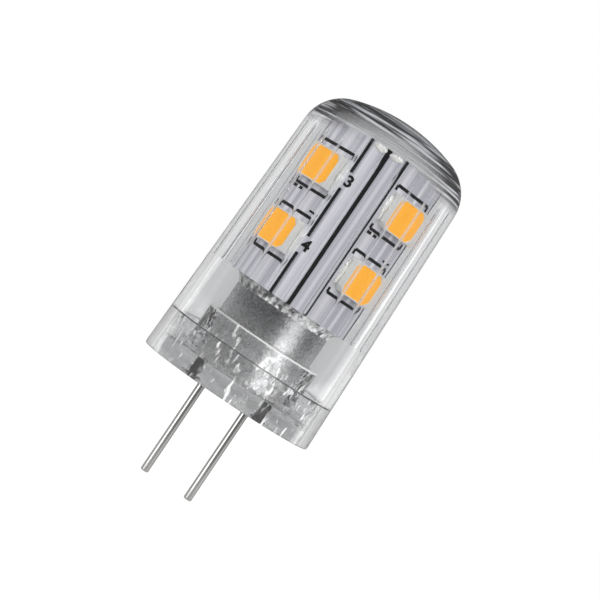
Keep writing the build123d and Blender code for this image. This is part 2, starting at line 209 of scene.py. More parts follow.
class PinSizes(bpy.types.PropertyGroup):
    """Sizes of the contact pins."""

    radius: length("Radius", "Radius of the wire", 0.35)
    collar: length("Collar radius", "Radius of the collar in the base", 0.55)
    collar_height: length("Collar height", "Height of the collar in the base", 0.4)
    tip: length("Tip", "Rounding of the tip", 0.15)


class TubeSizes(bpy.types.PropertyGroup):
    """Sizes of the satin tube."""

    wall: length("Wall", "Wall of the tube", 0.35)
    lip: length("Lip", "Rounding of the tube's ends", 0.08)
    # The tube's brighter foot is a painted highlight
    highlight_start: length("Bright start", "Height below which the tube grows brighter", 7.0)
    highlight_foot: length("Bright foot", "Height at which the tube is brightest", 2.5)


class BoardSizes(bpy.types.PropertyGroup):
    """Sizes of the folded LED board's print and solder."""

    panel_distance: length("Panel distance", "From the axis to a panel's face", 4.584)
    ink_lift: length("Ink lift", "Thickness of the print", 0.012)
    line: length("Line", "Width of a printed line", 0.25)
    fold_line: length("Fold line", "Width of the dark line at a fold", 0.32)
    fold_sink: length("Fold sink", "How deep the dark line lies in its fold", 0.04)
    fold_break: length("Fold break", "Length left out beside a digit", 1.4)
    # The dark line over the seam is painted shade in the seam's gap
    seam_shade_width: length("Seam width", "Width of the dark line over the seam", 0.4)
    bracket_width: length("Bracket width", "Width of the mark round an LED", 3.9)
    bracket_reach: length("Bracket reach", "From an LED's middle to its marks", 1.93)
    bracket_tick: length("Bracket tick", "Length of a mark's turned ends", 0.42)
    dash_drop: length("Dash drop", "From an upper LED's mark down to its dashes", 0.3)
    outer_dash: length("Outer dash", "From an LED's middle to its outer dash", 1.75)
    outer_dash_width: length("Outer dash width", "Width of the outer dash", 0.5)
    inner_dash: length("Inner dash", "From an LED's middle to its inner dash", 1.05)
    inner_dash_width: length("Inner dash width", "Width of the inner dash", 0.4)
    minus_rise: length("Minus rise", "From a lower LED's mark up to its minus sign", 0.45)
    minus_aside: length("Minus aside", "From an LED's middle to its minus sign", 1.55)
    minus_width: length("Minus width", "Width of a minus sign", 0.85)
    minus_line: length("Minus line", "Height of a minus sign", 0.17)
    digit_height: length("Digit height", "Height of a printed digit", 0.97)
    digit_aside: length("Digit aside", "From a fold to the middle of a digit", 0.25)
    solder_reach: length("Solder reach", "From an LED's middle to its solder", 1.86)
    solder_width: length("Solder width", "Half width of a lump of solder", 0.22)
    solder_height: length("Solder height", "Height of a lump of solder", 0.26)
    solder_uneven: length("Solder uneven", "How far a wave pushes a lump's side", 0.12)
    joint_aside: length("Joint aside", "A solder joint's distance from the seam", 0.68)
    joint_width: length("Joint width", "Half width of a solder joint on the seam strip", 0.56)
    joint_drop: length("Joint drop", "Half height of a solder joint on the seam strip", 0.27)
    joint_height: length("Joint height", "How far a solder joint stands off the strip", 0.12)
    joint_uneven: length("Joint uneven", "How far a wave pushes a joint's edge", 0.1)


class EdgeSizes(bpy.types.PropertyGroup):
    """Rounding of the small parts' edges."""

    housings: length("Housings", "Edges of the LED housings", 0.04)
    terminals: length("Terminals", "Edges of the LED terminals", 0.03)
    mouldings: length("Mouldings", "Edges of the driver's larger parts", 0.05)
    chips: length("Chips", "Edges of the driver's small chips", 0.03)


class FinishColours(bpy.types.PropertyGroup):
    """Colours of the finishes."""

    cover: colour("Cover", "Tint of the clear cover", 0.9, 0.905, 0.91)
    # The pale and dark wear are painted light and shade on the cover: a painted highlight on the
    # ribs from the front, painted shade on ribs, dome and rim at a slant
    rib_highlight_paint: colour("Pale wear", "Dulled ribs seen from the front", 0.87, 0.89, 0.93)
    shade_paint: colour("Dark wear", "Dulled ribs and arcs seen at a slant", 0.05, 0.05, 0.052)
    base: colour("Base", "Tint of the clear base", 0.97, 0.97, 0.975)
    adhesive: colour("Adhesive", "Tint of the silicone", 0.93, 0.93, 0.92)
    pins: colour("Pins", "Tinned wire", 0.45, 0.445, 0.44)
    tube_dark: colour("Tube, dark", "Darker grain of the satin tube", 0.24, 0.24, 0.25)
    tube_light: colour("Tube, light", "Lighter grain of the satin tube", 0.48, 0.48, 0.49)
    # The tube's foot colour is a painted highlight
    tube_foot_highlight: colour("Tube foot", "Foot of the tube, inside the base", 0.85, 0.85, 0.84)
    # The board's darker and lighter bands are painted shade and painted light
    board_shaded: colour("Board, dark", "Darker bands of the LED board", 0.6, 0.595, 0.665)
    board_lit: colour("Board, light", "Lighter bands of the LED board", 0.95, 0.945, 1.0)
    housings: colour("Housings", "White cups of the LEDs", 0.94, 0.935, 0.91)
    phosphor_dark: colour("Phosphor, dark", "Darker grains of phosphor", 0.95, 0.36, 0.02)
    phosphor_light: colour("Phosphor, light", "Lighter grains of phosphor", 1.0, 0.46, 0.04)
    # The phosphor glow is painted light, emission from a part that is no lamp
    phosphor_painted_glow: colour("Phosphor glow", "Light that phosphor scatters", 1.0, 0.5, 0.07)
    tin: colour("Tin", "Terminals, leads and solder", 0.86, 0.86, 0.83)
    laminate: colour("Laminate", "Driver board", 0.03, 0.13, 0.05)
    epoxy: colour("Epoxy", "Rectifier, chip and resistor", 0.02, 0.02, 0.022)
    capacitor: colour("Capacitor", "Moulded capacitor", 0.6, 0.26, 0.02)
    ferrite: colour("Ferrite", "Core of the inductor", 0.05, 0.05, 0.055)
    copper: colour("Copper", "Winding and straps", 0.75, 0.33, 0.14)
    ceramic: colour("Ceramic", "Chip capacitors", 0.42, 0.3, 0.16)
    ink: colour("Ink", "Print on the LED board", 0.004, 0.004, 0.005)
    paper: colour("Paper", "Floor of the stage", 0.3, 0.3, 0.3)


class StageSettings(bpy.types.PropertyGroup):
    """Camera, floor and light."""

    camera_distance: length("Camera distance", "From the bulb's axis to the camera", 158.0)
    camera_side: length("Camera side", "Camera's place along X", 0.63)
    camera_height: length("Camera height", "Camera's place along Z", 9.3)
    roll: angle("Roll", "How far the bulb leans in the picture", 34.0)
    lens: plain_number("Lens", "Focal length in millimetres", 122.6)
    aim_height: length("Aim height", "Height at which the lamps aim", 12.0)
    floor_size: length("Floor size", "Side of the floor", 4000.0)
    floor_drop: length("Floor drop", "How far the floor is below the base", 30.0)
    floor_dusk: length("Floor dusk", "How far in front of the bulb the floor turns dim", 158.0)
    floor_loss: plain_number("Floor loss", "Brightness that it lacks against the room", 0.2)
    floor_white: plain_number("Floor white", "Brightness that the camera sees added to it", 0.85)
    backdrop: plain_number("Backdrop", "Brightness of the backdrop seen through glass", 0.73)
    ambient: plain_number("Ambient", "Even light from all round", 0.5)


GROUPS = {
    "bulb_cover": CoverSizes,
    "bulb_base": BaseSizes,
    "bulb_pins": PinSizes,
    "bulb_tube": TubeSizes,
    "bulb_board": BoardSizes,
    "bulb_edges": EdgeSizes,
    "bulb_colours": FinishColours,
    "bulb_stage": StageSettings,
}


# Shader helpers


def add_node(tree, kind, **settings):
    """A new node with its settings."""
    node = tree.nodes.new(kind)
    for key, value in settings.items():
        setattr(node, key, value)
    return node


def feed(tree, socket, value):
    """Links a socket to another one, or sets it to a value."""
    if isinstance(value, bpy.types.NodeSocket):
        tree.links.new(value, socket)
    else:
        socket.default_value = value


def math_node(tree, operation, first, *others):
    """The result of maths on sockets or numbers, taken two at a time."""
    for value in others:
        node = add_node(tree, "ShaderNodeMath", operation=operation)
        feed(tree, node.inputs[0], first)
        feed(tree, node.inputs[1], value)
        first = node.outputs[0]
    return first


def remap(tree, value, low, high, first=0.0, last=1.0):
    """A value moved from the range low to high to the range first to last, and held in it."""
    node = add_node(tree, "ShaderNodeMapRange")
    feed(tree, node.inputs["Value"], value)
    feed(tree, node.inputs["From Min"], low)
    feed(tree, node.inputs["From Max"], high)
    feed(tree, node.inputs["To Min"], first)
    feed(tree, node.inputs["To Max"], last)
    return node.outputs["Result"]


def blend_colours(tree, factor, first, second):
    """A colour mixed from two colours or sockets by a factor."""
    node = add_node(tree, "ShaderNodeMix", data_type="RGBA")
    tree.links.new(factor, node.inputs[0])
    for socket, value in ((node.inputs[6], first), (node.inputs[7], second)):
        feed(tree, socket, value if isinstance(value, bpy.types.NodeSocket) else (*value, 1))
    return node.outputs[2]


def mix_shaders(tree, factor, first, second):
    """A surface mixed from two shaders by a factor, put on the material's output."""
    mix = add_node(tree, "ShaderNodeMixShader")
    for socket, value in zip(mix.inputs, (factor, first, second)):
        feed(tree, socket, value)
    tree.links.new(mix.outputs[0], tree.nodes["Material Output"].inputs["Surface"])
    return mix.outputs[0]


def shared_group(name, inputs, fill):
    """A shader group with one value, filled with nodes the first time it is asked for."""
    group = bpy.data.node_groups.get(name)
    if group:
        return group
    group = bpy.data.node_groups.new(name, "ShaderNodeTree")
    for label, kind in inputs.items():
        group.interface.new_socket(label, in_out="INPUT", socket_type=f"NodeSocket{kind}")
    group.interface.new_socket("Value", in_out="OUTPUT", socket_type="NodeSocketFloat")
    source = add_node(group, "NodeGroupInput")
    target = add_node(group, "NodeGroupOutput")
    value = fill(group, *(source.outputs[label] for label in inputs))
    group.links.new(value, target.inputs["Value"])
    return group


def place_group(tree, group, **values):
    """The value of a shared group that is placed in a tree with its own inputs."""
    node = add_node(tree, "ShaderNodeGroup", node_tree=group)
    for name, value in values.items():
        feed(tree, node.inputs[name], value)
    return node.outputs["Value"]


def mottle_nodes(tree, scale, detail, low, high):
    """Soft blotches between two values, in the piece's own coordinates."""
    spot = add_node(tree, "ShaderNodeTexCoord")
    cloud = add_node(tree, "ShaderNodeTexNoise")
    feed(tree, cloud.inputs["Vector"], spot.outputs["Object"])
    feed(tree, cloud.inputs["Scale"], scale)
    feed(tree, cloud.inputs["Detail"], detail)
    return remap(tree, cloud.outputs["Fac"], NOISE_LOW, NOISE_HIGH, low, high)


def mottle(tree, scale, low=0.0, high=1.0, detail=4.0):
    """The shared blotches, set for one material."""
    inputs = dict.fromkeys(("Scale", "Detail", "Low", "High"), "Float")
    group = shared_group("Mottle", inputs, mottle_nodes)
    return place_group(tree, group, Scale=scale, Detail=detail, Low=low, High=high)


def speck_nodes(tree, fineness, seed, low, high):
    """Specks from 0 to 1. The fineness along each axis draws them out to streaks."""
    spot = add_node(tree, "ShaderNodeTexCoord")
    scale = add_node(tree, "ShaderNodeVectorMath", operation="MULTIPLY")
    cloud = add_node(tree, "ShaderNodeTexNoise", noise_dimensions="4D")
    feed(tree, scale.inputs[0], spot.outputs["Object"])
    feed(tree, scale.inputs[1], fineness)
    feed(tree, cloud.inputs["Vector"], scale.outputs[0])
    feed(tree, cloud.inputs["W"], seed)
    feed(tree, cloud.inputs["Scale"], 1.0)
    feed(tree, cloud.inputs["Detail"], 3.0)
    return remap(tree, cloud.outputs["Fac"], low, high)


def streaks(tree, fineness, seed, low, high):
    """The shared streaks, set for one material."""
    inputs = {"Fineness": "Vector", "Seed": "Float", "Low": "Float", "High": "Float"}
    group = shared_group("Streaks", inputs, speck_nodes)
    return place_group(tree, group, Fineness=fineness, Seed=seed, Low=low, High=high)


def height_share(tree, start, end):
    """0 at one height and 1 at another, with an even rise between them."""
    spot = add_node(tree, "ShaderNodeTexCoord")
    split = add_node(tree, "ShaderNodeSeparateXYZ")
    tree.links.new(spot.outputs["Object"], split.inputs[0])
    return remap(tree, split.outputs["Z"], start, end)


def point_mask(tree, name):
    """A mask that is stored on a piece's points."""
    return add_node(tree, "ShaderNodeAttribute", attribute_name=name).outputs["Fac"]


def relief(tree, shader, height, depth):
    """Feeds a height into a shader's normal as a bump of a given depth."""
    bump = add_node(tree, "ShaderNodeBump")
    bump.inputs["Distance"].default_value = depth
    tree.links.new(height, bump.inputs["Height"])
    tree.links.new(bump.outputs["Normal"], shader.inputs["Normal"])


def new_material(name, tint, roughness, metallic=0.0):
    """A material with a plain shader, its node tree and the shader."""
    material = bpy.data.materials.new(f"{name}_look")
    material.use_nodes = True
    shader = material.node_tree.nodes["Principled BSDF"]
    shader.inputs["Base Color"].default_value = (*tint, 1)
    shader.inputs["Roughness"].default_value = roughness
    shader.inputs["Metallic"].default_value = metallic
    return material, material.node_tree, shader


def colours():
    """The colours that the finishes start from."""
    return bpy.context.scene.bulb_colours


# Materials, one for each finish


def clear_finish(name, tint, ior, roughness, depth, grain=420, rings=None):
    """A clear material, its tree and its surface. Shadows and soft light pass straight through."""
    material, tree, shader = new_material(name, tint, roughness)
    shader.inputs["IOR"].default_value = ior
    shader.inputs["Transmission Weight"].default_value = 1.0
    patches = mottle(tree, scale=900, low=roughness, high=roughness * 2.5)
    tree.links.new(patches, shader.inputs["Roughness"])
    height = mottle(tree, scale=grain, detail=2.0)
    if rings:
        height = math_node(tree, "ADD", height, rings(tree))
    relief(tree, shader, height, depth)
    rays = add_node(tree, "ShaderNodeLightPath").outputs
    passing = math_node(tree, "MAXIMUM", rays["Is Shadow Ray"], rays["Is Diffuse Ray"])
    through = add_node(tree, "ShaderNodeBsdfTransparent")
    surface = mix_shaders(tree, passing, shader.outputs[0], through.outputs[0])
    return material, tree, surface


def dome_rings(tree):
    """Height of the fine turning rings that the mould leaves on the dome."""
    sizes = bpy.context.scene.bulb_cover
    spot = add_node(tree, "ShaderNodeTexCoord")
    rings = add_node(tree, "ShaderNodeTexWave", bands_direction="Z")
    for name, value in (("Scale", 900), ("Distortion", 1.5), ("Detail", 2), ("Detail Scale", 0.6)):
        rings.inputs[name].default_value = value
    tree.links.new(spot.outputs["Object"], rings.inputs["Vector"])
    dome = height_share(tree, sizes.ring_start, sizes.ring_full)
    return math_node(tree, "MULTIPLY", dome, RING_DEPTH, rings.outputs["Fac"])


def clear_plastic():
    """The cover, with a painted highlight on its ribs' flanks seen from the front, painted shade on
    them at a slant, a painted veil of light and dark streaks on its dome and a painted dark rim at
    its silhouette.
    """
    sizes = bpy.context.scene.bulb_cover
    material, tree, clear = clear_finish(
        "clear_plastic",
        colours().cover,
        ior=PLASTIC_IOR,
        roughness=0.015,
        depth=0.004 * MM,
        rings=dome_rings,
    )
    flank = point_mask(tree, "rib_flank")
    skin = point_mask(tree, "outer_skin")
    slant = add_node(tree, "ShaderNodeLayerWeight").outputs["Facing"]
    side = remap(tree, slant, low=0.4, high=0.7)
    ahead = math_node(tree, "SUBTRACT", 1.0, side)
    broad_flank = math_node(tree, "MULTIPLY", flank, SIDE_SPREAD)
    broad_flank = math_node(tree, "MINIMUM", broad_flank, 1.0)
    dome = math_node(tree, "MULTIPLY", height_share(tree, sizes.painted_arc_start, sizes.painted_arc_full), skin)
    # Painted highlight on the ribs' flanks seen from the front, painted shade on them at a slant
    pale = math_node(tree, "MULTIPLY", flank, ahead)
    dark = math_node(tree, "MULTIPLY", broad_flank, side)
    # A painted veil of light and dark streaks over the dome at a slant, and a painted dark rim at
    # the silhouette
    painted_veil = math_node(tree, "MULTIPLY", dome, remap(tree, slant, low=0.05, high=0.5))
    painted_rim_shade = math_node(tree, "MULTIPLY", remap(tree, slant, low=0.75, high=0.95), skin)
    # Painted dark streaks, the dome's arcs
    bands = streaks(tree, fineness=(150, 150, 4500), seed=5.0, low=0.4, high=0.55)
    arcs = math_node(tree, "MULTIPLY", dome, bands)
    # How much of the clear surface each painted mark of light and shade covers
    cover_shares = ((pale, 0.75), (dark, 0.8), (painted_veil, 0.9), (painted_rim_shade, 0.5))
    covered = [math_node(tree, "MULTIPLY", mark, share) for mark, share in cover_shares]
    painted_share = math_node(tree, "MAXIMUM", *covered)
    tone = math_node(tree, "MAXIMUM", dark, arcs, painted_rim_shade)
    tint = blend_colours(tree, tone, colours().rib_highlight_paint, colours().shade_paint)
    # A pale and dark diffuse layer that carries the painted highlight and painted shade
    shaders = [add_node(tree, f"ShaderNodeBsdf{kind}") for kind in ("Translucent", "Diffuse")]
    for shader in shaders:
        tree.links.new(tint, shader.inputs["Color"])
    painted_layer = mix_shaders(tree, 0.5, *(shader.outputs[0] for shader in shaders))
    mix_shaders(tree, painted_share, clear, painted_layer)
    return material


def cloud_over(tree, clear, share, tone=0.95):
    """Mixes one grey into a clear surface by a share."""
    grey = add_node(tree, "ShaderNodeBsdfDiffuse")
    grey.inputs["Color"].default_value = (tone, tone, tone, 1)
    return mix_shaders(tree, share, clear, grey.outputs[0])


def base_plastic():
    """The base: the cover's plastic, thicker, with painted shade over its floor, a painted
    highlight on the collar's lip and painted glints in pale flecks.
    """
    sizes = bpy.context.scene.bulb_base
    material, tree, clear = clear_finish(
        "base_plastic",
        colours().base,
        ior=PLASTIC_IOR,
        roughness=0.012,
        depth=0.016 * MM,
        grain=1100,
    )
    # Painted grey shade over the floor, in streaks
    floor = height_share(tree, sizes.painted_shade_top, sizes.painted_shade_full)
    bands = speck_nodes(tree, fineness=(300, 300, 1500), seed=9.0, low=0.35, high=0.65)
    haze = math_node(tree, "MULTIPLY", floor, bands, PAINTED_SHADE_SHARE)
    floor_shaded = cloud_over(tree, clear, haze, tone=0.15)
    # Painted highlight along the collar's lip
    lip = height_share(tree, sizes.lip_highlight_start, sizes.lip_highlight_full)
    lip = math_node(tree, "MULTIPLY", lip, LIP_HIGHLIGHT_SHARE)
    # Painted glints, as pale flecks
    marks = speck_nodes(tree, fineness=(2600, 2600, 800), seed=3.0, low=0.6, high=0.68)
    cloud_over(tree, floor_shaded, math_node(tree, "MAXIMUM", marks, lip))
    return material


def adhesive():
    """Clear silicone with whitish specks in it, partly bubbles and partly painted glints."""
    material, tree, clear = clear_finish(
        "adhesive",
        colours().adhesive,
        ior=SILICONE_IOR,
        roughness=0.03,
        depth=0.05 * MM,
        grain=1600,
    )
    # Whitish specks: partly bubbles, partly painted glints
    bubbles = speck_nodes(tree, fineness=(2200, 2200, 2200), seed=0.0, low=0.443, high=0.729)
    cloud_over(tree, clear, bubbles)
    return material


def pin_metal():
    """Smooth tinned wire."""
    material, tree, shader = new_material("pin_metal", colours().pins, roughness=0.14, metallic=1.0)
    tree.links.new(mottle(tree, scale=300, low=0.11, high=0.16), shader.inputs["Roughness"])
    return material


def tube_aluminium():
    """Satin aluminium, with a painted highlight that brightens it towards its foot inside the base.
    """
    sizes = bpy.context.scene.bulb_tube
    material, tree, shader = new_material(
        "tube_aluminium", colours().tube_light, roughness=0.3, metallic=1.0
    )
    patches = mottle(tree, scale=4000, low=0.2, high=0.34, detail=6.0)
    tree.links.new(patches, shader.inputs["Roughness"])
    grain = mottle(tree, scale=5000, detail=8.0)
    satin = blend_colours(tree, grain, colours().tube_dark, colours().tube_light)
    # Painted highlight: the colour brightens towards the foot
    foot = height_share(tree, sizes.highlight_start, sizes.highlight_foot)
    tone = blend_colours(tree, foot, satin, colours().tube_foot_highlight)
    tree.links.new(tone, shader.inputs["Base Color"])
    relief(tree, shader, mottle(tree, scale=6000, detail=6.0), depth=0.012 * MM)
    return material


def board_white():
    """White lacquer over rolled metal, with soft bands of painted light and painted shade along the
    bulb.
    """
    material, tree, shader = new_material("board_white", colours().board_shaded, roughness=0.42)
    # Painted light and shade, in soft bands along the bulb
    bands = streaks(tree, fineness=(2200, 2200, 15), seed=2.0, low=0.42, high=0.6)
    tone = blend_colours(tree, bands, colours().board_shaded, colours().board_lit)
    tree.links.new(tone, shader.inputs["Base Color"])
    return material


def led_white():
    """White plastic of the LED housings."""
    return new_material("led_white", colours().housings, roughness=0.4)[0]


def phosphor():
    """Yellow silicone with a painted glow: emission, though it is no lamp."""
    material, tree, shader = new_material("phosphor", colours().phosphor_light, roughness=0.5)
    grain = mottle(tree, scale=6000, detail=2.0)
    tone = blend_colours(tree, grain, colours().phosphor_dark, colours().phosphor_light)
    tree.links.new(tone, shader.inputs["Base Color"])
    shader.inputs["Specular IOR Level"].default_value = 0.2
    # Painted glow
    shader.inputs["Emission Color"].default_value = (*colours().phosphor_painted_glow, 1)
    shader.inputs["Emission Strength"].default_value = 0.46
    return material


def terminal_tin():
    """Tin and solder, partly dulled."""
    material, tree, shader = new_material(
        "terminal_tin", colours().tin, roughness=0.35, metallic=0.35
    )
    patches = mottle(tree, scale=3000, low=0.22, high=0.42)
    tree.links.new(patches, shader.inputs["Roughness"])
    return material


def driver_laminate():
    """Green laminate of the driver board."""
    return new_material("driver_laminate", colours().laminate, roughness=0.4)[0]


def black_epoxy():
    """Moulded epoxy of the rectifier, chip and resistor."""
    return new_material("black_epoxy", colours().epoxy, roughness=0.5)[0]


def capacitor_moulding():
    """Moulding of the smoothing capacitor."""
    return new_material("capacitor_moulding", colours().capacitor, roughness=0.42)[0]


def ferrite():
    """Dark core of the inductor."""
    return new_material("ferrite", colours().ferrite, roughness=0.6)[0]


def copper():
    """Winding and straps."""
    return new_material("copper", colours().copper, roughness=0.3, metallic=1.0)[0]


def ceramic():
    """Bodies of the chip capacitors."""
    return new_material("ceramic", colours().ceramic, roughness=0.5)[0]


def black_ink():
    """Print on the LED board, and the dark bar of painted shade over its seam."""
    return new_material("black_ink", colours().ink, roughness=0.6)[0]


FINISHES = (
    clear_plastic,
    base_plastic,
    adhesive,
    pin_metal,
    tube_aluminium,
    board_white,
    led_white,
    phosphor,
    terminal_tin,
    driver_laminate,
    black_epoxy,
    capacitor_moulding,
    ferrite,
    copper,
    ceramic,
    black_ink,
)


def finish(name):
    """The material of a finish, made the first time it is asked for."""
    made = bpy.data.materials.get(f"{name}_look")
    if made:
        return made
    return {maker.__name__: maker for maker in FINISHES}[name]()


def slot_of(node):
    """The record's material slot of a CAD node."""
    for row in frame["record"]["subparts"]:
        if row["node"] == node:
            return row["material_slot"]
    raise KeyError(node)


# Modelling helpers


def select_only(piece):
    """Selects one piece alone and makes it the active one."""
    bpy.ops.object.select_all(action="DESELECT")
    piece.select_set(True)
    bpy.context.view_layer.objects.active = piece


def join_pieces(pieces, name):
    """One piece joined from several, under a name."""
    select_only(pieces[0])
    for piece in pieces:
        piece.select_set(True)
    bpy.ops.object.join()
    joined = bpy.context.object
    joined.name = joined.data.name = name
    return joined


def round_corners(points, radius, steps=3):
    """The outline with each inner corner rounded by a short curve."""
    outline = [Vector(points[0])]
    for before, corner, after in zip(points, points[1:], points[2:]):
        corner = Vector(corner)
        back = Vector(before) - corner
        ahead = Vector(after) - corner
        start = corner + back.normalized() * min(radius, back.length * CORNER_LIMIT)
        end = corner + ahead.normalized() * min(radius, ahead.length * CORNER_LIMIT)
        for step in range(steps + 1):
            share = step / steps
            outline.append(start.lerp(corner, share).lerp(corner.lerp(end, share), share))
    outline.append(Vector(points[-1]))
    return outline


def arc(centre, radius, start, end, steps):
    """Points along an arc in the outline's plane."""
    turns = [start + (end - start) * step / steps for step in range(steps + 1)]
    return [
        (centre[0] + radius * math.cos(turn), centre[1] + radius * math.sin(turn)) for turn in turns
    ]


def spin_outline(name, outline, columns):
    """A piece drawn as an outline of (radius, height) points and spun round Z."""
    bpy.ops.object.select_all(action="DESELECT")
    bpy.ops.mesh.primitive_plane_add(size=MM)
    piece = bpy.context.object
    piece.name = piece.data.name = name
    bpy.ops.object.mode_set(mode="EDIT")
    bpy.ops.mesh.select_all(action="SELECT")
    bpy.ops.mesh.merge(type="CENTER")
    bpy.ops.transform.translate(value=(outline[0][0], 0, outline[0][1]))
    for here, there in zip(outline, outline[1:]):
        step = (there[0] - here[0], 0, there[1] - here[1])
        bpy.ops.mesh.extrude_vertices_move(TRANSFORM_OT_translate={"value": step})
    bpy.ops.mesh.select_all(action="SELECT")
    bpy.ops.mesh.spin(steps=columns, angle=FULL_TURN, center=(0, 0, 0), axis=(0, 0, 1))
    bpy.ops.mesh.select_all(action="SELECT")
    bpy.ops.mesh.remove_doubles(threshold=MERGE)
    bpy.ops.mesh.normals_make_consistent(inside=False)
    bpy.ops.object.mode_set(mode="OBJECT")
    return piece


def smooth(piece, degrees=35):
    """Smooth shading, with edges past an angle left sharp."""
    select_only(piece)
    bpy.ops.object.shade_smooth_by_angle(angle=math.radians(degrees))


def place(piece, node):
    """Gives a finished piece its body, hides the CAD node it stands for and puts on that node's
    finish.
    """
    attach(piece, "root")
    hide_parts(node)
    dress(piece, slot_of(node))


def dress(piece, slot):
    """Puts one finish on a piece."""
    piece.data.materials.clear()
    piece.data.materials.append(finish(slot))


def soften(node, width):
    """A copy of a CAD node with its edges rounded over, standing for that node."""
    select_only(frame["nodes"][node])
    bpy.ops.object.duplicate()
    piece = bpy.context.object
    piece.name = piece.data.name = f"{node}_formed"
    bpy.ops.object.mode_set(mode="EDIT")
    bpy.ops.mesh.select_all(action="SELECT")
    bpy.ops.mesh.remove_doubles(threshold=MERGE)
    bpy.ops.mesh.dissolve_limited(angle_limit=FLAT_ANGLE)
    bpy.ops.object.mode_set(mode="OBJECT")
    bevel = piece.modifiers.new("Edges", "BEVEL")
    bevel.width = width
    bevel.segments = 2
    bevel.limit_method = "ANGLE"
    bevel.angle_limit = EDGE_ANGLE
    bpy.ops.object.modifier_apply(modifier=bevel.name)
    smooth(piece, degrees=40)
    place(piece, node)


def dome_corner(foot, lean, sphere_radius, sphere_centre):
    """Where a leaning wall that rises from its foot meets a sphere, as (radius, height)."""
    slope = math.tan(lean)
    reach = foot[0] + foot[1] * slope
    linear = reach * slope + sphere_centre
    square = 1 + slope**2
    rest = reach**2 + sphere_centre**2 - sphere_radius**2
    height = (linear + math.sqrt(linear**2 - square * rest)) / square
    return (reach - height * slope, height)


def dome_curve(foot, lean, shoulder, sphere_radius, sphere_centre, steps):
    """The shoulder's and the crown's arcs from the wall up to the axis."""
    inset = (foot[0] - shoulder / math.cos(lean), foot[1])
    centre = dome_corner(inset, lean, sphere_radius - shoulder, sphere_centre)
    turn = math.atan2(centre[1] - sphere_centre, centre[0])
    bend = arc(centre, shoulder, lean, turn, steps)
    crown = arc((0, sphere_centre), sphere_radius, turn, math.pi / 2, steps)
    return bend + crown[1:]


def middle_height(node):
    """Height of the middle of a CAD node."""
    low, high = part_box(node)
    return (low.z + high.z) / 2


def to_pin(node):
    """The move from the axis to a contact pin."""
    low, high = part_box(node)
    return Matrix.Translation(((low.x + high.x) / 2, 0, 0))


def seat(turn, distance, height):
    """The frame of a place on a board face: X to the right, Y up and Z outwards."""
    outward = Vector((math.cos(turn), math.sin(turn), 0))
    right = Vector((-math.sin(turn), math.cos(turn), 0))
    matrix = Matrix((right, Vector((0, 0, 1)), outward)).transposed().to_4x4()
    matrix.translation = outward * distance + Vector((0, 0, height))
    return matrix


# Operators, one for each piece or group


